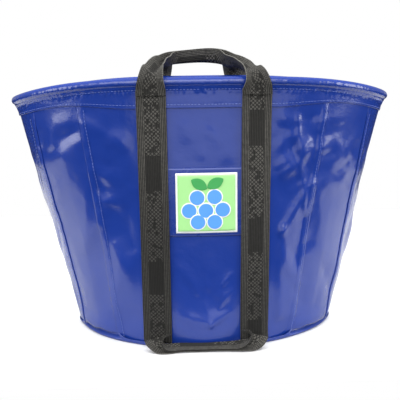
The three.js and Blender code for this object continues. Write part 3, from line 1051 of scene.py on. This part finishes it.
def folded_ribbon(name, stations, count, passes, press):
    """Webbing along stations of (x, y, z, into x, into y, into z, fold, width share).

    press is the y direction the edges slide in where they meet the ground, or 0 for none.
    """
    line = spline(stations, count)
    centre, into, fold, share = line[:, :3], line[:, 3:6], line[:, 6], line[:, 7]
    tangent = unit(np.gradient(centre, axis=0))
    into = unit(into - np.sum(into * tangent, axis=1, keepdims=True) * tangent)
    beside = np.cross(into, tangent)
    along = lengths_along(centre)
    rows, uvs = [], []
    for k in range(count):
        across, side, depth = ribbon_section(float(np.clip(fold[k], 0, 1)))
        side, depth = side * share[k], depth * share[k]
        rows.append(centre[k] + beside[k] * side[:, None] + into[k] * depth[:, None])
        uvs.append(np.stack([across, np.full_like(across, along[k])], axis=-1))
    middle = relaxed(np.stack(rows), passes)
    if press:
        middle = press_down(middle, press)
    return thick_sheet(name, middle, WEBBING, WEB, np.stack(uvs)), float(along[-1])


STRAP_GAP = 2.3 * MM
STRAP_TOP_DEPTH = 16.5 * MM
STRAP_FOOT = 9 * MM
# How far the woven figures of a face's two straps are apart, halved.
FIGURE_SHIFT = 45 * MM
STRAP_ROWS = 150
STRAP_COLUMNS = 15
EDGE_COLUMNS = (1, STRAP_COLUMNS - 2)


def strap_grid(side, face):
    """Middle points of a strap from its foot to its sewn top end, on the front or the back."""
    top_arc = arc_at_x(side * STRAP_TOP_CENTRE, 1.0)
    top = float(height_at_depth(np.array([top_arc]), np.array([STRAP_TOP_DEPTH]))[0])
    foot = STRAP_FOOT / RIM_HEIGHT
    across = np.linspace(-WEBBING_WIDTH / 2, WEBBING_WIDTH / 2, STRAP_COLUMNS)
    grid, uvs = [], []
    for share in np.linspace(0, 1, STRAP_ROWS):
        height = foot + (top - foot) * share
        centre = side * (STRAP_FOOT_CENTRE + (STRAP_TOP_CENTRE - STRAP_FOOT_CENTRE) * height)
        arc = arc_at_x(centre + across, height) + (HALF if face == "back" else 0)
        level = height * RIM_HEIGHT
        lift = 1.2 * MM * (1 - smooth(level, 8 * MM, 30 * MM)) + 0.9 * MM * smooth(height, 0.88, 0.96)
        wave = 0.5 * MM * MIDDLE(np.stack([arc * 22, level * 14 + arc * 0, arc * 0 + 2.5], axis=-1))
        grid.append(wall(arc, np.full_like(arc, height), STRAP_GAP + WEBBING / 2 + lift + wave))
        along = np.full_like(across, level + side * FIGURE_SHIFT)
        uvs.append(np.stack([across + WEBBING_WIDTH / 2, along], axis=-1))
    return np.stack(grid), np.stack(uvs)


def build_strap(face, side):
    word = "left" if (side < 0) == (face == "front") else "right"
    name = f"{face}_{word}_strap"
    middle, uv = strap_grid(side, face)
    piece = thick_sheet(name + "_webbing", middle, WEBBING, STRAP_WEB, uv)
    place(piece, "tub", "webbing", name)
    sew_strap(name, middle)


def sew_strap(name, middle):
    """Two lines of thread down the strap and a cross line at its top."""
    normal = grid_normals(middle)
    left, right = EDGE_COLUMNS
    runs = [(middle[3:-1, column], normal[3:-1, column]) for column in EDGE_COLUMNS]
    runs.append((middle[-2, left:right + 1], normal[-2, left:right + 1]))
    starts, ends, outs = [], [], []
    for line, out in runs:
        line = line + out * (WEBBING / 2 + 0.02 * MM)
        along = lengths_along(line)
        begins = np.arange(0, along[-1] - LAST_STITCH, STRAP_STITCH_PITCH)
        starts += list(points_at(begins, along, line))
        ends += list(points_at(begins + STRAP_STITCH_LENGTH, along, line))
        outs += list(points_at(begins, along, out))
    piece = stitches(name + "_stitches", starts, ends, STRAP_STITCH_RADIUS, DARK_THREAD, outs)
    place(piece, "tub", "webbing")


for face in ("front", "back"):
    for side in (-1, 1):
        build_strap(face, side)


# ---------- carry handles

# Each handle from its left sewn end to its right one, as seen from the front: x, how far its middle
# line is out from the bag's middle, z, where its edges fold to, how far it is folded, and the share
# of the width that shows. Millimetres.
FRONT_HANDLE = (
    (-71, 166.4, 360, 0, 1, 0, 0, 1),
    (-71, 167.2, 367, 0, 1, 0, 0.06, 1),
    (-71, 168, 374, 0, 1, 0, 0.24, 1),
    (-70.6, 168.6, 381, 0, 1, 0.05, 0.42, 1),
    (-69.2, 167.6, 386.5, -0.05, 0.9, 0.3, 0.5, 0.98),
    (-67, 160, 389.2, -0.12, 0.55, 0.8, 0.52, 0.92),
    (-64, 145, 391.2, -0.14, 0.25, 1, 0.51, 0.91),
    (-60.8, 121, 396, -0.06, 0.1, 1, 0.6, 0.9),
    (-57.6, 96, 398.4, 0.06, 0, 1, 0.68, 0.91),
    (-53.4, 72, 398.6, 0.06, 0, 1, 0.77, 0.93),
    (-49, 50, 400.4, 0.04, 0, 1, 0.86, 0.96),
    (-43.5, 30, 402, 0, 0, 1, 0.93, 0.99),
    (-36, 14, 403.2, 0, 0, 1, 0.97, 1),
    (-25, 6.4, 404.4, 0, 0, 1, 1, 1),
    (-12, 4.6, 405.6, 0, 0, 1, 1, 1),
    (2, 4.6, 406.8, 0, 0, 1, 1, 1),
    (14, 5, 407.4, 0, 0, 1, 1, 1),
    (25, 8, 406.6, 0, 0, 1, 1, 1),
    (33, 17, 404.2, 0, 0, 1, 0.98, 1),
    (38.5, 34, 401.2, 0, 0, 1, 0.92, 0.99),
    (42.5, 54, 398.8, 0, 0, 1, 0.84, 0.96),
    (46.5, 76, 397.6, 0.03, 0, 1, 0.76, 0.93),
    (49.8, 98, 396.4, 0.14, 0, 1, 0.66, 0.91),
    (53.2, 122, 394.2, 0.24, 0.1, 1, 0.58, 0.9),
    (57.4, 145, 390.2, 0.34, 0.25, 0.95, 0.52, 0.84),
    (63.6, 160.5, 387.2, 0.3, 0.6, 0.75, 0.52, 0.86),
    (68.4, 167.6, 383.6, 0.14, 0.9, 0.28, 0.52, 0.94),
    (70.4, 168.6, 378.6, 0.04, 1, 0.05, 0.42, 0.99),
    (71, 168, 373, 0, 1, 0, 0.24, 1),
    (71, 167.2, 367, 0, 1, 0, 0.06, 1),
    (71, 166.4, 360, 0, 1, 0, 0, 1),
)
BACK_HANDLE = (
    (-71, 166.4, 360, 0, 1, 0, 0, 1),
    (-70, 167.2, 367, 0, 1, 0, 0, 1),
    (-68, 168.4, 375, 0, 1, 0, 0.03, 1),
    (-65, 170, 384, 0, 1, 0, 0.06, 1),
    (-62.5, 170.4, 391, 0, 1, 0.2, 0.12, 1),
    (-60.5, 164, 396, 0, 0.6, 0.7, 0.26, 1),
    (-57.5, 146, 399, 0, 0.2, 1, 0.42, 0.98),
    (-54, 120, 400.6, 0, 0.1, 1, 0.58, 0.96),
    (-50.5, 92, 401.4, 0, 0, 1, 0.74, 0.97),
    (-46.5, 62, 402, 0, 0, 1, 0.87, 1),
    (-42, 34, 402.6, 0, 0, 1, 0.95, 1),
    (-36, 14, 403.2, 0, 0, 1, 0.98, 1),
    (-26, 5.8, 404, 0, 0, 1, 1, 1),
    (-12, 4.6, 404.8, 0, 0, 1, 1, 1),
    (0, 4.6, 405.2, 0, 0, 1, 1, 1),
    (12, 4.6, 404.8, 0, 0, 1, 1, 1),
    (25, 5.8, 403.6, 0, 0, 1, 1, 1),
    (34, 14, 402, 0, 0, 1, 0.98, 1),
    (40, 34, 400.4, 0, 0, 1, 0.95, 1),
    (44.5, 62, 399, 0, 0, 1, 0.87, 1),
    (49.5, 92, 398, 0, 0, 1, 0.74, 0.97),
    (55, 120, 397.6, 0, 0.1, 1, 0.58, 0.96),
    (60.5, 146, 396.6, 0, 0.2, 1, 0.42, 0.98),
    (65.5, 163.6, 394, 0, 0.6, 0.7, 0.26, 1),
    (68.5, 170.2, 389.5, 0, 1, 0.2, 0.12, 1),
    (70, 170, 382.5, 0, 1, 0, 0.06, 1),
    (71, 168.4, 375, 0, 1, 0, 0.03, 1),
    (71, 167.2, 367, 0, 1, 0, 0, 1),
    (71, 166.4, 360, 0, 1, 0, 0, 1),
)


def stations_on(rows, sign):
    """Stations in metres, on the front for sign -1 and on the back for 1."""
    stations = np.array(rows, float)
    stations[:, :3] *= MM
    stations[:, [1, 4]] *= sign
    return stations


HANDLE_ROWS = 330
HANDLE_PASSES = 24


def build_free_webbing(face, part, rows, count, passes, on_ground=False):
    """Free webbing lofted along its stations on the front or the back, standing in place of the frame's
    part.
    """
    sign = -1 if face == "front" else 1
    name = f"{face}_{part}"
    press = sign if on_ground else 0
    piece, length = folded_ribbon(name + "_webbing", stations_on(rows, sign), count, passes, press)
    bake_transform(piece)
    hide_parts(name)


for face, rows in (("front", FRONT_HANDLE), ("back", BACK_HANDLE)):
    build_free_webbing(face, "handle", rows, HANDLE_ROWS, HANDLE_PASSES)


# ---------- tipping loops

# The tipping loop, folded lengthwise and leaning on the foot of the wall, from left to right.
TIPPING_LOOP = (
    (-69, 147.8, 19, 0, 1, 0, 0.02, 1),
    (-67.8, 148.4, 15, 0.2, 1, 0, 0.22, 1),
    (-65, 150.2, 11.8, 0.4, 0.9, -0.1, 0.5, 0.96),
    (-60, 151.8, 10.2, 0.3, 0.8, -0.4, 0.78, 0.9),
    (-53, 152.2, 10.2, 0.1, 0.8, -0.55, 0.94, 0.82),
    (-42, 151.6, 10.8, 0, 0.8, -0.6, 1, 0.74),
    (-24, 151.2, 10.4, 0, 0.8, -0.6, 1, 0.7),
    (-4, 151, 10, 0, 0.8, -0.58, 1, 0.68),
    (16, 151, 10.6, 0, 0.8, -0.6, 1, 0.7),
    (34, 151.4, 11.6, 0, 0.8, -0.62, 1, 0.76),
    (48, 151.8, 13.2, 0, 0.8, -0.6, 0.94, 0.86),
    (57, 151.8, 14.6, -0.2, 0.9, -0.45, 0.8, 0.92),
    (63.5, 150.6, 15.4, -0.4, 1, -0.2, 0.56, 0.96),
    (67.8, 148.8, 17.4, -0.2, 1, 0, 0.24, 1),
    (69, 147.8, 21, 0, 1, 0, 0.02, 1),
)

LOOP_ROWS = 150
LOOP_PASSES = 10

for face in ("front", "back"):
    build_free_webbing(face, "tipping_loop", TIPPING_LOOP, LOOP_ROWS, LOOP_PASSES, True)


# ---------- label

PATCH_LIFT = 1.2 * MM
PRINT_LIFT = 2.0 * MM
PATCH_RINGS = (0.02, 0.25, 0.5, 0.75, 0.93, 1.0)
PATCH_STEP = 4 * MM
OUTLINE_POINTS = 40
PRINT_BORDER = 2.6 * MM
# The printed bunch, in millimetres about the middle of the print's lower edge: each berry's place
# and its two radii, each leaf's place and tilt, and a leaf's length and width.
BERRIES = ((-13, 47), (11, 48), (-24, 29), (-1, 29), (22, 30), (-12, 13), (11, 13))
BERRY_RADII = (11.4, 9.9)
LEAVES = ((-10, 66, 2.6), (12, 67, 0.5))
LEAF_SIZE = (25, 15)


def front_patch(name, outline, lift, thickness, material):
    """A thin flat shape on the front, from a closed outline of (x, z) points."""
    centre = outline.mean(axis=0)
    flat = np.stack([centre + (outline - centre) * share for share in PATCH_RINGS])
    middle = np.stack([on_front(ring[:, 0], ring[:, 1], lift) for ring in flat])
    x, z = outline[:, 0], outline[:, 1]
    normal = unit(on_front(x, z, lift + 1 * MM) - on_front(x, z, lift))[None]
    half = normal * thickness / 2
    return sheet_piece(name, middle + half, middle - half, material, flat, cyclic=True, capped=True)


def on_front(x, z, lift):
    height = z / RIM_HEIGHT
    arc = arc_at_x(x, height)
    return wall(arc, height, lift)


def rectangle(x0, x1, z0, z1):
    """Points round a rectangle, starting at the lower left and going to the right."""
    across = np.linspace(x0, x1, max(2, int((x1 - x0) / PATCH_STEP)) + 1)
    upward = np.linspace(z0, z1, max(2, int((z1 - z0) / PATCH_STEP)) + 1)
    points = [(x, z0) for x in across[:-1]] + [(x1, z) for z in upward[:-1]]
    points += [(x, z1) for x in across[:0:-1]] + [(x0, z) for z in upward[:0:-1]]
    return np.array(points)


def disc(x, z, radius):
    angle = np.linspace(0, 2 * math.pi, OUTLINE_POINTS, endpoint=False)
    return np.stack([x + radius * np.cos(angle), z + radius * np.sin(angle)], axis=-1)


def leaf(x, z, length, width, tilt):
    t = np.linspace(0, 2 * math.pi, OUTLINE_POINTS, endpoint=False)
    along = np.cos(t) * length / 2
    across = np.sin(t) * np.abs(np.sin(t)) ** 0.6 * width / 2
    return np.stack([x + along * math.cos(tilt) - across * math.sin(tilt),
                     z + along * math.sin(tilt) + across * math.cos(tilt)], axis=-1)


def build_bunch(middle, low):
    for k, (dx, dz) in enumerate(BERRIES):
        for ring, (radius, ink) in enumerate(zip(BERRY_RADII, (WHITE_INK, SKY_INK))):
            lift = PRINT_LIFT + (0.42 + 0.05 * k + 0.12 * ring) * MM
            shape = disc(middle + dx * MM, low + dz * MM, radius * MM)
            piece = front_patch(f"label_print_berry_{k}_{ring}", shape, lift, 0.1 * MM, ink)
            place(piece, "tub", "label_print")
    length, width = LEAF_SIZE
    for k, (dx, dz, tilt) in enumerate(LEAVES):
        shape = leaf(middle + dx * MM, low + dz * MM, length * MM, width * MM, tilt)
        piece = front_patch(f"label_print_leaf_{k}", shape, PRINT_LIFT + 0.95 * MM, 0.1 * MM, LEAF_INK)
        place(piece, "tub", "label_print")


def build_label():
    x0, x1 = PATCH_LOW.x + 1 * MM, PATCH_HIGH.x - 1 * MM
    patch = front_patch("label_patch_sheet", rectangle(x0, x1, PATCH_LOW.z, PATCH_HIGH.z),
                        PATCH_LIFT, 0.7 * MM, PATCH)
    place(patch, "tub", "label_patch", "label_patch")
    a0, a1, b0, b1 = PRINT_LOW.x, PRINT_HIGH.x, PRINT_LOW.z, PRINT_HIGH.z
    ground = front_patch("label_print_ground", rectangle(a0, a1, b0, b1), PRINT_LIFT, 0.35 * MM, WHITE_INK)
    place(ground, "tub", "label_print", "label_print")
    rim = PRINT_BORDER
    field = front_patch("label_print_field", rectangle(a0 + rim, a1 - rim, b0 + rim, b1 - rim),
                        PRINT_LIFT + 0.25 * MM, 0.15 * MM, GREEN_INK)
    place(field, "tub", "label_print")
    build_bunch((a0 + a1) / 2, b0 + rim)


build_label()

for node in ("rim_tube", "rim_tube_joiner"):
    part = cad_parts[node]
    for place_ in part.material_slots:
        place_.material = HOOP


# ---------- camera, floor and light

CAMERA_AT = (-0.042, -1.199, 0.392)
CAMERA_PITCH = 9.5
CAMERA_TURN = -1.92
CAMERA_ROLL = -0.75
LENS = 69.5


def build_camera():
    data = bpy.data.cameras.new("camera")
    data.sensor_width = 36
    data.lens = LENS
    data.clip_end = 50
    camera = bpy.data.objects.new("camera", data)
    turn = Matrix.Rotation(math.radians(CAMERA_TURN), 4, "Z")
    tilt = Matrix.Rotation(math.radians(90 - CAMERA_PITCH), 4, "X")
    roll = Matrix.Rotation(math.radians(CAMERA_ROLL), 4, "Z")
    camera.matrix_world = Matrix.Translation(CAMERA_AT) @ turn @ tilt @ roll
    bpy.context.scene.collection.objects.link(camera)
    bpy.context.scene.camera = camera


FLOOR = ((-0.9, -0.27), (0.9, 0.9))
FLOOR_LEVEL = -0.0002
# How pale the floor is to the eye, and how much light it throws back on the object.
FLOOR_SEEN = 0.93
FLOOR_LIT = 0.62


def build_floor():
    """A plain pale floor that ends just in front of the view."""
    (left, near), (right, far) = FLOOR
    corners = [(x, y, FLOOR_LEVEL) for x, y in ((left, near), (right, near), (right, far), (left, far))]
    mesh = bpy.data.meshes.new("floor")
    mesh.from_pydata(corners, [], [(0, 1, 2, 3)])
    floor = bpy.data.objects.new("floor", mesh)
    material = bpy.data.materials.new("floor")
    material.use_nodes = True
    tree = material.node_tree
    shader = tree.nodes["Principled BSDF"]
    shader.inputs["Roughness"].default_value = 0.9
    path = tree.nodes.new("ShaderNodeLightPath")
    shade = tree.nodes.new("ShaderNodeValToRGB")
    fill_ramp(shade.color_ramp, ((0.0, grey(FLOOR_LIT)), (1.0, grey(FLOOR_SEEN))))
    tree.links.new(path.outputs["Is Camera Ray"], shade.inputs["Fac"])
    tree.links.new(shade.outputs["Color"], shader.inputs["Base Color"])
    mesh.materials.append(material)
    bpy.context.scene.collection.objects.link(floor)


def soft_light(name, place_, target, size, power):
    data = bpy.data.lights.new(name, "AREA")
    data.shape = "RECTANGLE"
    data.size, data.size_y = size
    data.energy = power
    lamp = bpy.data.objects.new(name, data)
    lamp.location = place_
    lamp.rotation_euler = (Vector(target) - Vector(place_)).to_track_quat("-Z", "Y").to_euler()
    bpy.context.scene.collection.objects.link(lamp)
    return lamp


# The light from the world by direction, from straight down at 0 over the horizon to straight up at 1.
SKY = ((0.44, grey(0.03)), (0.50, grey(0.45)), (0.60, grey(0.26)), (1.0, grey(0.62)))


def build_world():
    """A white backdrop to the eye, and soft uneven light on the object."""
    world = bpy.data.worlds.new("studio")
    world.use_nodes = True
    tree = world.node_tree
    add = tree.nodes.new
    link = tree.links.new
    shown = tree.nodes["Background"]
    shown.inputs["Color"].default_value = (*grey(1), 1)
    shown.inputs["Strength"].default_value = 1.0
    lit = add("ShaderNodeBackground")
    where = add("ShaderNodeTexCoord")
    split = add("ShaderNodeSeparateXYZ")
    ramp = add("ShaderNodeValToRGB")
    path = add("ShaderNodeLightPath")
    mix = add("ShaderNodeMixShader")
    fill_ramp(ramp.color_ramp, SKY)
    half = add("ShaderNodeMath")
    half.operation = "MULTIPLY_ADD"
    half.inputs[1].default_value = 0.5
    half.inputs[2].default_value = 0.5
    link(where.outputs["Generated"], split.inputs["Vector"])
    link(split.outputs["Z"], half.inputs[0])
    link(half.outputs[0], ramp.inputs["Fac"])
    link(ramp.outputs["Color"], lit.inputs["Color"])
    link(path.outputs["Is Camera Ray"], mix.inputs["Fac"])
    link(lit.outputs["Background"], mix.inputs[1])
    link(shown.outputs["Background"], mix.inputs[2])
    link(mix.outputs["Shader"], tree.nodes["World Output"].inputs["Surface"])
    bpy.context.scene.world = world
    bpy.context.scene.view_settings.view_transform = "Standard"


# Name, place, what it looks at, size and power.
LIGHTS = (
    ("left", (-1.5, -0.7, 0.55), (0, 0, 0.25), (0.7, 1.1), 11),
    ("right", (1.55, -0.6, 0.6), (0, 0, 0.25), (0.8, 1.2), 16),
    ("front", (0.25, -1.85, 0.02), (0.1, 0, 0.9), (1.8, 0.5), 3.4),
    ("high", (-0.3, -2.4, 1.7), (0, 0, 0.25), (3.2, 2.0), 68),
)


def build_light():
    build_world()
    top = soft_light("top", (0, 0.45, 1.7), (0, 0.45, 0), (2.4, 2.4), 66)
    top.visible_glossy = False
    for row in LIGHTS:
        soft_light(*row)


build_camera()
build_floor()
build_light()
